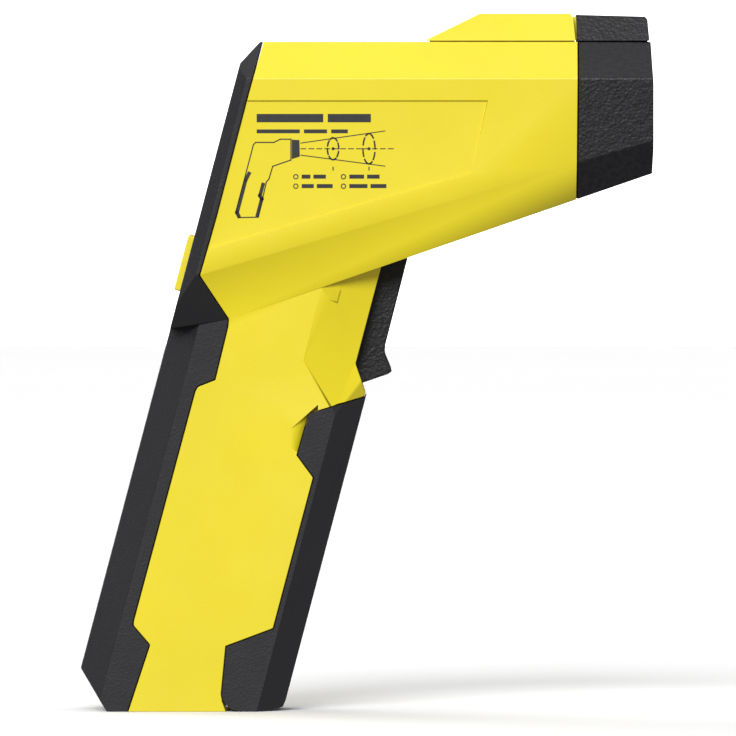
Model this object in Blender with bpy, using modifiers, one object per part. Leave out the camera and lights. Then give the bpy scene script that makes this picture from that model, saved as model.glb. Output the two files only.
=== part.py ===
"""Pistol-grip infrared thermometer, made as the separate pieces it is assembled from.

+X is where the lens looks, +Z is up and +Y is the instrument's left. The origin is on the
surface that the instrument stands on, under the middle of its length. Sizes are written in
millimetres, and every maker below turns them into metres.
"""
import math

import bmesh
import bpy
from mathutils import Matrix, Vector

MM = 0.001
GAP = 0.3                 # air between neighbouring pieces
WALL = 2.2                # moulded shell thickness
REACH = 250.0             # half side of the cube that blocks are trimmed from
ROUND = 24                # sides of a round piece
SMALL_ROUND = 12          # sides of a pin, screw shank or wire-like piece

# The grip leans back: u runs up the grip and v across it, from back to front.
TILT = math.radians(14.8)
BACK = -76.4              # v of the flat back, shared by head and grip
GRIP_FRONT = -21.6        # v of the grip's front face
TRIGGER_FRONT = -26.5     # v of the face behind the trigger
GRIP_HALF = 17.5
GRIP_FACE_HALF = 10.0     # half width of the grip's front and back faces
GRIP_BACK_RIDGE = -69.2   # v where the grip's side turns into its back bevel
GRIP_FRONT_RIDGE = -28.2
HEEL = ((-69.0, 0.0), (-75.8, 11.0))

HEAD_TOP = 177.5
HEAD_HALF = 25.0          # at the back; the sides draw in towards the nose
NOSE_HALF = 22.5
NOSE_X = 75.8
CREASE_TOP = 167.9        # height of the head's upper crease
TOP_HALF = 14.0

HUMP_TOP = 185.0
HUMP_BASE_HALF = 12.0
HUMP_TOP_HALF = 8.0
HUMP_WALL = 1.5

LENS_Z = 159.5
LASER_Z = 180.2
TRIGGER_PIVOT = (5.5, 125.0)
DOOR_PIVOT = (-33.8, 4.8)
LEVER_PIVOT_UV = (113.0, -31.7)

KEY_U = (95.0, 110.0)
KEY_CENTRES = {"key_left": 11.0, "key_centre": 0.0, "key_right": -11.0}
KEY_HALF = 4.5
WINDOW_U = (116.0, 149.0)
WINDOW_HALF = 17.0

COLOURS = {
    "yellow_abs": ((0.88, 0.66, 0.03), 0.38, 0.0),
    "black_tpe": ((0.03, 0.03, 0.035), 0.75, 0.0),
    "black_abs": ((0.02, 0.02, 0.022), 0.5, 0.0),
    "clear_window": ((0.25, 0.27, 0.28), 0.08, 0.0),
    "lcd": ((0.42, 0.47, 0.38), 0.25, 0.0),
    "circuit_board": ((0.02, 0.18, 0.07), 0.5, 0.0),
    "silicone": ((0.35, 0.36, 0.38), 0.8, 0.0),
    "germanium": ((0.10, 0.09, 0.12), 0.1, 0.6),
    "steel": ((0.55, 0.56, 0.58), 0.3, 1.0),
    "brass": ((0.70, 0.50, 0.20), 0.3, 1.0),
    "battery_wrap": ((0.10, 0.16, 0.30), 0.35, 0.2),
    "red_wire": ((0.60, 0.02, 0.02), 0.5, 0.0),
    "black_wire": ((0.02, 0.02, 0.02), 0.5, 0.0),
}


# ---------------------------------------------------------------- scene and materials

def clear_scene():
    for obj in list(bpy.data.objects):
        bpy.data.objects.remove(obj, do_unlink=True)


def new_collection(name):
    collection = bpy.data.collections.new(name)
    bpy.context.scene.collection.children.link(collection)
    return collection


def material(name):
    if name in bpy.data.materials:
        return bpy.data.materials[name]
    colour, roughness, metallic = COLOURS[name]
    made = bpy.data.materials.new(name)
    made.use_nodes = True
    shader = made.node_tree.nodes["Principled BSDF"]
    shader.inputs["Base Color"].default_value = (*colour, 1.0)
    shader.inputs["Roughness"].default_value = roughness
    shader.inputs["Metallic"].default_value = metallic
    return made


clear_scene()
PARTS = new_collection("infrared_thermometer")
CUTTERS = new_collection("cutters")


def finish(piece, material_name, origin=None, smooth=False):
    """Files a piece as a sub-part, with its material and, if it moves, its origin on its axis."""
    CUTTERS.objects.unlink(piece)
    PARTS.objects.link(piece)
    piece.hide_render = False
    piece.display_type = "TEXTURED"
    piece.data.materials.clear()
    piece.data.materials.append(material(material_name))
    if origin is not None:
        shift = Vector(origin) * MM
        piece.data.transform(Matrix.Translation(-shift) @ piece.matrix_world)
        piece.matrix_world = Matrix.Translation(shift)
    if smooth:
        piece.data.shade_smooth()
        piece.data.set_sharp_from_angle(angle=math.radians(35))
    return piece


# ---------------------------------------------------------------- makers, all in millimetres

def new_piece(name, mesh):
    """A mesh object that starts as a cutter, until finish() files it as a sub-part."""
    piece = bpy.data.objects.new(name, mesh)
    CUTTERS.objects.link(piece)
    piece.hide_render = True
    piece.display_type = "WIRE"
    return piece


def from_bmesh(name, bm):
    bmesh.ops.recalc_face_normals(bm, faces=bm.faces[:])
    mesh = bpy.data.meshes.new(name)
    bm.to_mesh(mesh)
    bm.free()
    return new_piece(name, mesh)


def baked(holder):
    """The closed mesh object that a curve or a turned profile evaluates to."""
    bpy.context.view_layer.update()
    evaluated = holder.evaluated_get(bpy.context.evaluated_depsgraph_get())
    bm = bmesh.new()
    mesh = bpy.data.meshes.new_from_object(evaluated)
    bm.from_mesh(mesh)
    bpy.data.meshes.remove(mesh)
    bmesh.ops.remove_doubles(bm, verts=bm.verts[:], dist=0.0005 * MM)
    name = holder.name
    matrix = holder.matrix_world.copy()
    bpy.data.objects.remove(holder, do_unlink=True)
    piece = from_bmesh(name, bm)
    piece.matrix_world = matrix
    return piece


def grip_point(u, v):
    """Side-view point (x, z) that lies u up the grip and v across it."""
    return (u * math.sin(TILT) + v * math.cos(TILT), u * math.cos(TILT) - v * math.sin(TILT))


def grip_place(u, y, v):
    x, z = grip_point(u, v)
    return (x, y, z)


def side_plane(a, b):
    """Plane seen edge-on from the side, through a then b, clockwise round the solid."""
    return (Vector((a[0], 0.0, a[1])), Vector((a[1] - b[1], 0.0, b[0] - a[0])).normalized())


def v_plane(v, front):
    """Plane across the grip at v, facing forwards if front is true and backwards if not."""
    low, high = grip_point(0.0, v), grip_point(100.0, v)
    return side_plane(high, low) if front else side_plane(low, high)


def facets(p, q, r):
    """The plane through three points on the left side, and its mirror image on the right."""
    p, q, r = Vector(p), Vector(q), Vector(r)
    normal = (q - p).cross(r - p).normalized()
    if normal.y < 0.0:
        normal.negate()
    flip = Vector((1.0, -1.0, 1.0))
    return [(p, normal), (p * flip, normal * flip)]


def reverse(plane):
    return (plane[0], -plane[1])


def block(name, planes, inset=0.0):
    """A large cube trimmed by each plane, after moving the plane inwards by inset."""
    bm = bmesh.new()
    bmesh.ops.create_cube(bm, size=2.0 * REACH * MM)
    for point, normal in planes:
        everything = bm.verts[:] + bm.edges[:] + bm.faces[:]
        place = (point - normal * inset) * MM
        trimmed = bmesh.ops.bisect_plane(
            bm, geom=everything, dist=1e-8, plane_co=place, plane_no=normal, clear_outer=True)
        rim = [item for item in trimmed["geom_cut"] if isinstance(item, bmesh.types.BMEdge)]
        if rim:
            bmesh.ops.contextual_create(bm, geom=rim)
    return from_bmesh(name, bm)


def box(name, low, high):
    bm = bmesh.new()
    bmesh.ops.create_cube(bm, size=1.0)
    low, high = Vector(low) * MM, Vector(high) * MM
    size = Matrix.Diagonal((*(high - low), 1.0))
    bmesh.ops.transform(bm, verts=bm.verts[:], matrix=Matrix.Translation((low + high) / 2) @ size)
    return from_bmesh(name, bm)


def grip_box(name, u_range, y_range, v_range):
    """A box square to the grip, from its ranges up (u), sideways (y) and across (v)."""
    piece = box(name, (v_range[0], y_range[0], u_range[0]), (v_range[1], y_range[1], u_range[1]))
    piece.data.transform(Matrix.Rotation(TILT, 4, "Y"))
    return piece


def rod(name, radius, start, end, sides=ROUND, end_radius=None):
    """A cylinder between two points, or a cone frustum if end_radius is given."""
    start, end = Vector(start) * MM, Vector(end) * MM
    along = end - start
    turn = Vector((0.0, 0.0, 1.0)).rotation_difference(along).to_matrix().to_4x4()
    bm = bmesh.new()
    bmesh.ops.create_cone(
        bm, cap_ends=True, segments=sides, depth=along.length, radius1=radius * MM,
        radius2=(radius if end_radius is None else end_radius) * MM,
        matrix=Matrix.Translation((start + end) / 2) @ turn)
    return from_bmesh(name, bm)


def plate(name, outline, y_from, y_to):
    """A flat side-view outline, given the thickness between two y places."""
    curve = bpy.data.curves.new(name, "CURVE")
    curve.dimensions = "2D"
    curve.fill_mode = "BOTH"
    curve.extrude = (y_to - y_from) / 2.0 * MM
    spline = curve.splines.new("POLY")
    spline.points.add(len(outline) - 1)
    for point, (x, z) in zip(spline.points, outline):
        point.co = (x * MM, z * MM, 0.0, 1.0)
    spline.use_cyclic_u = True
    holder = bpy.data.objects.new(name, curve)
    holder.rotation_euler.x = math.pi / 2.0
    holder.location.y = (y_from + y_to) / 2.0 * MM
    CUTTERS.objects.link(holder)
    return baked(holder)


def turned(name, profile, z, sides=ROUND):
    """A (radius, x) profile turned about the line along X at height z."""
    mesh = bpy.data.meshes.new(name)
    points = [(radius * MM, 0.0, x * MM) for radius, x in profile]
    joined_up = profile[0][0] > 0.0
    edges = [(i, i + 1) for i in range(len(points) - 1)]
    if joined_up:
        edges.append((len(points) - 1, 0))
    mesh.from_pydata(points, edges, [])
    holder = bpy.data.objects.new(name, mesh)
    holder.rotation_euler.y = math.pi / 2.0
    holder.location.z = z * MM
    CUTTERS.objects.link(holder)
    screw = holder.modifiers.new("turn", "SCREW")
    screw.axis = "Z"
    screw.steps = sides
    screw.render_steps = sides
    screw.use_merge_vertices = True
    screw.merge_threshold = 0.00001
    return baked(holder)


def wire(name, points, radius, straight=False):
    """A round wire through points, with straight runs between them or in smooth curves."""
    curve = bpy.data.curves.new(name, "CURVE")
    curve.dimensions = "3D"
    curve.bevel_depth = radius * MM
    curve.bevel_resolution = 1
    curve.use_fill_caps = True
    if straight:
        spline = curve.splines.new("POLY")
        spline.points.add(len(points) - 1)
        for point, place in zip(spline.points, points):
            point.co = (*(Vector(place) * MM), 1.0)
    else:
        spline = curve.splines.new("BEZIER")
        spline.resolution_u = 4
        spline.bezier_points.add(len(points) - 1)
        for point, place in zip(spline.bezier_points, points):
            point.co = Vector(place) * MM
            point.handle_left_type = "AUTO"
            point.handle_right_type = "AUTO"
    holder = bpy.data.objects.new(name, curve)
    CUTTERS.objects.link(holder)
    return baked(holder)


def arc(centre, radius, start_deg, end_deg, count):
    """Side-view points round an arc, both ends included."""
    turns = [start_deg + (end_deg - start_deg) * i / (count - 1) for i in range(count)]
    return [(centre[0] + radius * math.cos(math.radians(turn)),
             centre[1] + radius * math.sin(math.radians(turn))) for turn in turns]


def grown(outline, margin):
    """A clockwise outline with every side moved outwards by margin."""
    moved = []
    for i, point in enumerate(outline):
        before, here, after = Vector(outline[i - 1]), Vector(point), outline[(i + 1) % len(outline)]
        first, second = (here - before).normalized(), (Vector(after) - here).normalized()
        n1, n2 = Vector((-first.y, first.x)), Vector((-second.y, second.x))
        moved.append(tuple(here + (n1 + n2) * margin / (1.0 + n1.dot(n2))))
    return moved


# ---------------------------------------------------------------- joining and cutting

def combine(piece, tools, operation):
    for tool in tools:
        modifier = piece.modifiers.new(tool.name, "BOOLEAN")
        modifier.operation = operation
        modifier.object = tool
    return piece


def join(piece, *tools):
    return combine(piece, tools, "UNION")


def cut(piece, *tools):
    return combine(piece, tools, "DIFFERENCE")


def keep(piece, *tools):
    return combine(piece, tools, "INTERSECT")


# ---------------------------------------------------------------- the outer form

def head_side(x):
    """Half width of the head's side at x."""
    return HEAD_HALF + (NOSE_HALF - HEAD_HALF) * (x + 44.0) / (NOSE_X + 44.0)


def head_planes():
    crease_back = (-43.8, HEAD_HALF, 116.2)
    crease_front = (55.7, head_side(55.7), 145.3)
    lower_back = (-36.7, GRIP_HALF, 104.0)
    planes = [
        side_plane((-33.65, 171.8), (-28.4, HEAD_TOP)),
        side_plane((-28.4, HEAD_TOP), (55.0, HEAD_TOP)),
        side_plane((75.2, HEAD_TOP), (75.85, 165.0)),
        side_plane((NOSE_X, 165.0), (NOSE_X, 150.0)),
        side_plane((75.85, 150.0), (75.4, 141.0)),
        side_plane((75.45, 142.6), (-36.7, 104.0)),
        side_plane((-36.7, 104.0), (-51.6, 101.6)),
    ]
    planes += facets((-44.0, HEAD_HALF, 0.0), (NOSE_X, NOSE_HALF, 0.0), (-44.0, HEAD_HALF, 100.0))
    planes += facets((-34.0, head_side(-34.0), CREASE_TOP), (55.7, head_side(55.7), CREASE_TOP),
                     (-34.0, TOP_HALF, HEAD_TOP))
    planes += facets(crease_back, crease_front, lower_back)
    planes += facets(grip_place(110.0, HEAD_HALF, BACK + 3.0), grip_place(160.0, HEAD_HALF, BACK + 3.0),
                     grip_place(110.0, HEAD_HALF - 3.0, BACK))
    return planes


def grip_planes():
    planes = [
        side_plane((-60.0, 124.5), (0.0, 124.5)),
        v_plane(GRIP_FRONT, front=True),
        side_plane((-21.2, 3.7), (-22.4, 1.0)),
        side_plane((-22.4, 1.0), (-29.3, 0.0)),
        side_plane((-29.3, 0.0), (-69.0, 0.0)),
        side_plane(*HEEL),
    ]
    planes += facets((0.0, GRIP_HALF, 0.0), (10.0, GRIP_HALF, 0.0), (0.0, GRIP_HALF, 10.0))
    planes += facets(grip_place(0.0, GRIP_HALF, GRIP_FRONT_RIDGE),
                     grip_place(80.0, GRIP_HALF, GRIP_FRONT_RIDGE),
                     grip_place(0.0, GRIP_FACE_HALF, GRIP_FRONT))
    planes += facets(grip_place(0.0, GRIP_HALF, GRIP_BACK_RIDGE),
                     grip_place(80.0, GRIP_HALF, GRIP_BACK_RIDGE),
                     grip_place(0.0, GRIP_FACE_HALF, BACK))
    return planes


# The trigger's hollow: a flat face behind it, a steep shelf under it, bevels at both sides.
SHELF = side_plane((-3.1, 92.2), (-0.6, 85.0))
TRIGGER_BEVELS = facets((-12.3, GRIP_HALF, 111.9), (-16.5, GRIP_HALF, 95.0), (-3.1, 12.0, 92.2))
SHELF_BEVELS = facets((-16.9, GRIP_HALF, 93.0), (-11.7, GRIP_HALF, 84.3), (-3.1, 12.0, 92.2))


def outer_form(name, inset):
    """Head and grip as one solid, with every face moved inwards by inset."""
    form = block(name, head_planes(), inset)
    grip = block(name + "_grip", grip_planes(), inset)
    hollow = block(name + "_hollow", [reverse(v_plane(TRIGGER_FRONT, front=True)), reverse(SHELF)],
                   -inset)
    cut(grip, hollow)
    for side, (bevel, shelf) in enumerate(zip(TRIGGER_BEVELS, SHELF_BEVELS)):
        cut(grip, block(name + "_bevel_" + str(side), [reverse(bevel), reverse(shelf)], -inset))
    behind = block(name + "_behind", [reverse(v_plane(BACK, front=False))], -inset)
    join(form, grip)
    return cut(form, behind)


def make_skin():
    return cut(outer_form("skin", 0.0), outer_form("skin_inside", WALL))


SKIN = make_skin()

# Seams between the mouldings, as clockwise side-view outlines that run past the skin.
BACK_SEAM = [
    (-26.6, 181.0), (-27.7, 177.1), (-31.9, 161.8), (-39.8, 131.5), (-44.3, 115.6),
    (-36.7, 104.0), (-36.9, 102.0), (-40.3, 88.0), (-44.9, 86.2), (-45.6, 84.9),
    (-61.9, 24.1), (-62.0, 22.8), (-57.6, 17.7), (-65.4, -6.0), (-110.0, -6.0), (-110.0, 181.0),
]
DOOR_CORNER = 4.8         # radius of the door's lower back corner, about its hinge
DOOR_SWING = math.radians(70.0)
DOOR_SEAM = [(-33.8, -6.0)] + arc(DOOR_PIVOT, DOOR_CORNER, -90.0, -180.0, 9) + [
    (-37.4, 17.3), (-24.85, 22.0), (-14.2, 62.1), (-18.6, 68.0), (-15.5, 79.0),
    (-7.9, 81.3), (-0.8, 83.3), (1.2, 86.2), (20.0, 86.2), (20.0, -6.0),
]
NOSE_SEAM = side_plane((55.95, HEAD_TOP), (55.55, 135.7))


# ---------------------------------------------------------------- yellow housing halves

LABEL_DEPTH = 0.6
LABEL_EDGES = [
    side_plane((-60.0, 161.9), (31.8, 161.9)),
    side_plane((31.8, 161.9), (27.8, 142.9)),
    side_plane((26.9, 142.6), (-41.7, 122.8)),
]
# Screw bosses: side-view place, y where the boss ends in the wall, y under the screw head.
BOSSES = [
    ((8.0, 134.0), 22.6, 19.5),
    ((44.0, 139.4), 19.4, 16.5),
    ((6.0, 165.0), 22.6, 19.5),
    (grip_point(75.0, -56.0), 16.4, 13.6),
    (grip_point(20.0, -56.0), 16.4, 13.6),
    (grip_point(95.2, -46.4), 16.4, 13.6),
]
BOSS_RADIUS = {-1.0: 2.9, 1.0: 3.6}    # the left bosses hold the screw heads
SHANK_RADIUS = 1.25
HEAD_RADIUS = 2.05
COUNTERBORE_RADIUS = 2.4
PIN_RADIUS = 1.2
TRIGGER_HALF = 6.0
TRIGGER_SLOT = [(11.6, 126.0), (11.6, 86.4), (-7.5, 86.4), (0.8, 116.0), (0.8, 126.0)]


def label_recess(side):
    x_back, x_front = -60.0, 60.0
    depth = LABEL_DEPTH
    floor = facets((x_back, head_side(x_back) - depth, 0.0), (x_front, head_side(x_front) - depth, 0.0),
                   (x_back, head_side(x_back) - depth, 100.0))
    return block("label_recess", LABEL_EDGES + [reverse(floor[0] if side > 0 else floor[1])])


def thumb_scoop(side):
    """Sloping hollow beside the door's upper lobe, deepest at the door."""
    slope = facets((-20.4, GRIP_HALF, 68.0), (-20.2, GRIP_HALF, 76.0), (-17.0, GRIP_HALF - 1.4, 72.0))
    ends = [side_plane((-20.2, 75.0), (-14.0, 80.5)), side_plane((-14.0, 66.3), (-20.4, 69.8))]
    front = side_plane((-13.0, 80.0), (-13.0, 60.0))
    return block("thumb_scoop", ends + [front, reverse(slope[0] if side > 0 else slope[1])])


def add_bosses(half, side):
    for index, ((x, z), end_y, _) in enumerate(BOSSES):
        name = "boss_" + str(index)
        join(half, rod(name, BOSS_RADIUS[side], (x, side * GAP / 2, z), (x, side * end_y, z)))
    for index, ((x, z), _, seat_y) in enumerate(BOSSES):
        name = "boss_hole_" + str(index)
        reach = seat_y + 1.0 if side > 0 else seat_y - 4.0
        hole_radius = SHANK_RADIUS + GAP
        cut(half, rod(name, hole_radius, (x, -side, z), (x, side * reach, z), SMALL_ROUND))
        if side > 0:
            cut(half, rod(name + "_head", COUNTERBORE_RADIUS, (x, seat_y, z), (x, 40.0, z)))


def add_trigger_bearing(half, side):
    x, z = TRIGGER_PIVOT
    join(half, rod("bearing", 3.0, (x, side * 6.9, z), (x, side * 18.7, z)))
    cut(half, rod("bearing_hole", PIN_RADIUS + GAP, (x, side * 5.0, z), (x, side * 11.0, z),
                  SMALL_ROUND))


def add_ribs(half, side):
    """Ribs that carry the spring and the switch, each from its wall almost to the middle."""
    near, far = sorted((side * 0.4, side * 16.3))
    join(half, grip_box("spring_rib", (89.5, 97.0), (near, far), (-40.4, -38.8)))
    near, far = sorted((side * 3.6, side * 16.3))
    join(half, grip_box("switch_rib", (103.0, 106.5), (near, far), (-38.0, -35.5)))


def heel_relief():
    """Side-view outline of the room that the door's flat bottom swings up into, behind its hinge."""
    x, z = DOOR_PIVOT
    along = Vector((math.cos(DOOR_SWING), -math.sin(DOOR_SWING)))
    down = Vector((-math.sin(DOOR_SWING), -math.cos(DOOR_SWING)))
    top = Vector(DOOR_PIVOT) + down * (z + GAP)
    low = top + along * 6.0
    return [(x, z - 2.0), (x, low.y), tuple(low), tuple(top)]


def housing_half(name, side):
    middle = (Vector((0.0, 0.0, 0.0)), Vector((0.0, -side, 0.0)))
    half = keep(block(name, [NOSE_SEAM, middle], GAP / 2), SKIN)
    cut(half, plate("back_opening", grown(BACK_SEAM, GAP / 2), -40.0, 40.0))
    cut(half, plate("door_opening", grown(DOOR_SEAM, GAP / 2), -40.0, 40.0))
    cut(half, plate("heel_relief", heel_relief(), -40.0, 40.0))
    add_bosses(half, side)
    add_trigger_bearing(half, side)
    add_ribs(half, side)
    slot_half = TRIGGER_HALF + 0.4
    cut(half, plate("trigger_slot", TRIGGER_SLOT, -slot_half, slot_half))
    cut(half, box("laser_slot", (33.0, -3.4, 172.0), (60.0, 3.4, 182.0)))
    cut(half, label_recess(side), thumb_scoop(side))
    return finish(half, "yellow_abs")


# ---------------------------------------------------------------- black mouldings

def back_cover():
    cover = keep(plate("rear_cover", grown(BACK_SEAM, -GAP / 2), -40.0, 40.0), SKIN)
    for u in BOARD_SCREW_U:
        for y in (-BOARD_SCREW_Y, BOARD_SCREW_Y):
            join(cover, rod("post", 2.3, grip_place(u, y, BACK + 1.0), grip_place(u, y, BOARD_V[0] - GAP)))
            cut(cover, rod("post_hole", 1.3, grip_place(u, y, BACK + 2.6), grip_place(u, y, -60.0),
                           SMALL_ROUND))
    for y in KEY_CENTRES.values():
        cut(cover, grip_box("key_hole", (KEY_U[0] - GAP, KEY_U[1] + GAP),
                            (y - KEY_HALF - GAP, y + KEY_HALF + GAP), (BACK - 9.0, BACK + 5.0)))
    rim = 2.2
    u0, u1 = WINDOW_U
    cut(cover, grip_box("window_seat", (u0 - GAP, u1 + GAP), (-WINDOW_HALF - GAP, WINDOW_HALF + GAP),
                        (BACK - 9.0, BACK + 1.6)))
    cut(cover, grip_box("window_hole", (u0 + rim, u1 - rim), (rim - WINDOW_HALF, WINDOW_HALF - rim),
                        (BACK - 9.0, BACK + 5.0)))
    return finish(cover, "black_tpe")


def battery_door():
    door = keep(plate("battery_door", grown(DOOR_SEAM, -GAP / 2), -40.0, 40.0), SKIN)
    x, z = DOOR_PIVOT
    for side in (-1.0, 1.0):
        cut(door, rod("door_pin_hole", DOOR_PIN_RADIUS + GAP, (x, side * 14.0, z), (x, side * 16.6, z),
                      SMALL_ROUND))
    return finish(door, "black_tpe", origin=(x, 0.0, z))


def nose_cap():
    cap = keep(block("nose_cap", [reverse(NOSE_SEAM)], GAP / 2), SKIN)
    join(cap, rod("hood", 16.0, (66.4, 0.0, LENS_Z), (74.8, 0.0, LENS_Z), 32))
    cut(cap, rod("hood_bore", 12.4, (65.4, 0.0, LENS_Z), (77.4, 0.0, LENS_Z), 32, end_radius=14.8))
    return finish(cap, "black_abs")


# ---------------------------------------------------------------- laser housing on top

def hump_sides():
    return facets((0.0, HUMP_BASE_HALF, HEAD_TOP), (50.0, HUMP_BASE_HALF, HEAD_TOP),
                  (0.0, HUMP_TOP_HALF, HUMP_TOP))


def laser_hood():
    shape = [
        side_plane((14.6, HEAD_TOP), (29.9, HUMP_TOP)),
        side_plane((29.9, HUMP_TOP), (54.0, HUMP_TOP)),
        side_plane((54.0, HUMP_TOP), (54.7, 183.6)),
        side_plane((54.7, 183.6), (55.3, HEAD_TOP)),
    ] + hump_sides()
    base = HEAD_TOP + GAP
    hood = block("laser_hood", shape + [side_plane((60.0, base), (0.0, base))])
    front_open = [shape[0], shape[1]] + hump_sides()
    return finish(cut(hood, block("hood_inside", front_open, HUMP_WALL)), "yellow_abs")


def laser_cap():
    back = side_plane((55.75, HEAD_TOP), (55.45, HUMP_TOP))
    shape = [
        side_plane((55.3, 184.7), (73.8, 184.2)),
        side_plane((73.8, 184.2), (74.4, 183.4)),
        side_plane((74.4, 183.4), (74.9, HEAD_TOP)),
    ] + hump_sides()
    base = HEAD_TOP + GAP
    cap = block("laser_cap", shape + [back, side_plane((90.0, base), (0.0, base))])
    cut(cap, block("cap_inside", shape, HUMP_WALL))
    cut(cap, rod("laser_port", 1.9, (70.0, 0.0, LASER_Z), (80.0, 0.0, LASER_Z)))
    return finish(cap, "black_abs")


def laser_parts():
    z = LASER_Z
    module = join(rod("laser_module", 2.8, (41.0, 0.0, z), (55.2, 0.0, z)),
                  rod("laser_neck", 1.6, (35.0, 0.0, z), (42.0, 0.0, z), SMALL_ROUND))
    finish(module, "brass", smooth=True)
    finish(rod("laser_window", 2.15, (71.3, 0.0, z), (72.4, 0.0, z)), "clear_window")


# ---------------------------------------------------------------- optics

def optics():
    barrel = [
        (3.0, 18.0), (14.3, 18.0), (14.3, 66.0), (13.4, 66.0), (13.4, 62.0), (12.4, 62.0),
        (12.4, 20.0), (3.0, 20.0),
    ]
    finish(turned("optics_barrel", barrel, LENS_Z, 32), "black_abs", smooth=True)
    edge, middle, radius = 63.7, 64.7, 13.1
    crown = [(radius * i / 6.0, middle - (middle - edge) * (i / 6.0) ** 2) for i in range(7)]
    lens = [(0.0, 62.4), (radius, 62.4)] + crown[::-1]
    finish(turned("ir_lens", lens, LENS_Z, 32), "germanium", smooth=True)
    ring = [(11.6, 65.0), (13.1, 65.0), (13.1, 66.0), (11.6, 66.0)]
    finish(turned("lens_retainer", ring, LENS_Z, 32), "black_abs", smooth=True)
    sensor = rod("thermopile", 4.1, (13.7, 0.0, LENS_Z), (17.7, 0.0, LENS_Z))
    finish(sensor, "steel", smooth=True)
    board = box("sensor_board", (12.1, -11.0, LENS_Z - 11.0), (13.4, 11.0, LENS_Z + 11.0))
    finish(board, "circuit_board")


# ---------------------------------------------------------------- display, keys and main board

BOARD_V = (-70.4, -68.8)
BOARD_SCREW_U = (108.0, 150.5)
BOARD_SCREW_Y = 18.9


def display():
    u0, u1 = WINDOW_U
    window = grip_box("display_window", (u0, u1), (-WINDOW_HALF, WINDOW_HALF), (BACK, BACK + 1.3))
    finish(window, "clear_window")
    lcd = grip_box("lcd_module", (u0 - 1.0, u1 + 1.0), (-16.2, 16.2), (-73.8, -70.8))
    finish(lcd, "lcd")


def main_board():
    low_u, step_u, high_u = 93.5, 104.0, 154.0
    board = grip_box("main_board", (low_u, high_u), (-21.0, 21.0), BOARD_V)
    for side in (-1.0, 1.0):
        low, high = sorted((side * 16.3, side * 25.0))
        cut(board, grip_box("board_corner", (low_u - 5.0, step_u), (low, high), (-75.0, -60.0)))
    for u in BOARD_SCREW_U:
        for y in (-BOARD_SCREW_Y, BOARD_SCREW_Y):
            cut(board, rod("board_hole", 1.3, grip_place(u, y, -75.0), grip_place(u, y, -60.0),
                           SMALL_ROUND))
    finish(board, "circuit_board")
    number = 0
    for u in BOARD_SCREW_U:
        for y in (-BOARD_SCREW_Y, BOARD_SCREW_Y):
            number += 1
            head = rod("board_screw_" + str(number), 1.9, grip_place(u, y, BOARD_V[1] + GAP),
                       grip_place(u, y, BOARD_V[1] + 1.6), SMALL_ROUND)
            shank = rod("shank", 1.0, grip_place(u, y, BACK + 3.2),
                        grip_place(u, y, BOARD_V[1] + 1.0), SMALL_ROUND)
            finish(join(head, shank), "steel", smooth=True)
    buzzer = rod("buzzer", 6.0, grip_place(136.0, 8.0, BOARD_V[1] + GAP),
                 grip_place(136.0, 8.0, BOARD_V[1] + 5.0))
    finish(buzzer, "black_abs", smooth=True)


KEY_PROUD = 1.65
KEY_TRAVEL = 1.0


def keys():
    flange = (BACK + WALL + 0.4, BACK + WALL + 1.3)
    for name, y in KEY_CENTRES.items():
        key = grip_box(name, KEY_U, (y - KEY_HALF, y + KEY_HALF), (BACK - KEY_PROUD, flange[1]))
        rim = grip_box("key_flange", (KEY_U[0] - 0.9, KEY_U[1] + 0.9),
                       (y - KEY_HALF - 0.8, y + KEY_HALF + 0.8), flange)
        middle = (KEY_U[0] + KEY_U[1]) / 2.0
        finish(join(key, rim), "yellow_abs", origin=grip_place(middle, y, BACK))
    mat_v = flange[1] + KEY_TRAVEL + GAP
    mat = grip_box("keypad_mat", (KEY_U[0] - 0.9, KEY_U[1] + 0.9), (-16.2, 16.2),
                   (mat_v, BOARD_V[0] - GAP))
    finish(mat, "silicone")


# ---------------------------------------------------------------- trigger, switch and spring

def trigger():
    x, z = TRIGGER_PIVOT
    back_face = [grip_point(112.0, -28.2), grip_point(103.6, -28.5), grip_point(102.5, -30.0),
                 grip_point(98.5, -30.0), grip_point(97.3, -29.3), grip_point(91.0, -30.2)]
    outline = arc(TRIGGER_PIVOT, 3.2, 200.0, 0.0, 9) + [
        (10.2, 123.0), (10.85, 120.4), (4.9, 97.2), (4.6, 95.2), (6.6, 90.4), (6.2, 89.5),
        (-1.4, 86.9), (-3.4, 89.0),
    ] + back_face[::-1] + [(3.2, 118.2)]
    body = plate("trigger", outline, -TRIGGER_HALF, TRIGGER_HALF)
    cut(body, rod("trigger_hole", PIN_RADIUS + GAP, (x, -9.0, z), (x, 9.0, z), SMALL_ROUND))
    finish(body, "black_abs", origin=(x, 0.0, z))
    pin = rod("trigger_pin", PIN_RADIUS, (x, -10.6, z), (x, 10.6, z), SMALL_ROUND)
    finish(pin, "steel", smooth=True)


def switch():
    body = grip_box("switch_body", (99.0, 112.0), (-3.2, 3.2), (-39.0, -34.3))
    join(body, grip_box("switch_foot", (111.0, 114.5), (-3.2, 3.2), (-39.0, -33.2)))
    join(body, rod("plunger", 0.8, grip_place(108.0, 0.0, -35.0), grip_place(108.0, 0.0, -32.5),
                   SMALL_ROUND))
    finish(body, "black_abs")
    u, v = LEVER_PIVOT_UV
    lever = grip_box("switch_lever", (98.8, 113.6), (-2.2, 2.2), (-31.0, -30.4))
    join(lever, rod("knuckle", 1.0, grip_place(u, -2.2, v), grip_place(u, 2.2, v), SMALL_ROUND))
    finish(lever, "steel", origin=grip_place(u, 0.0, v))


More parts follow.
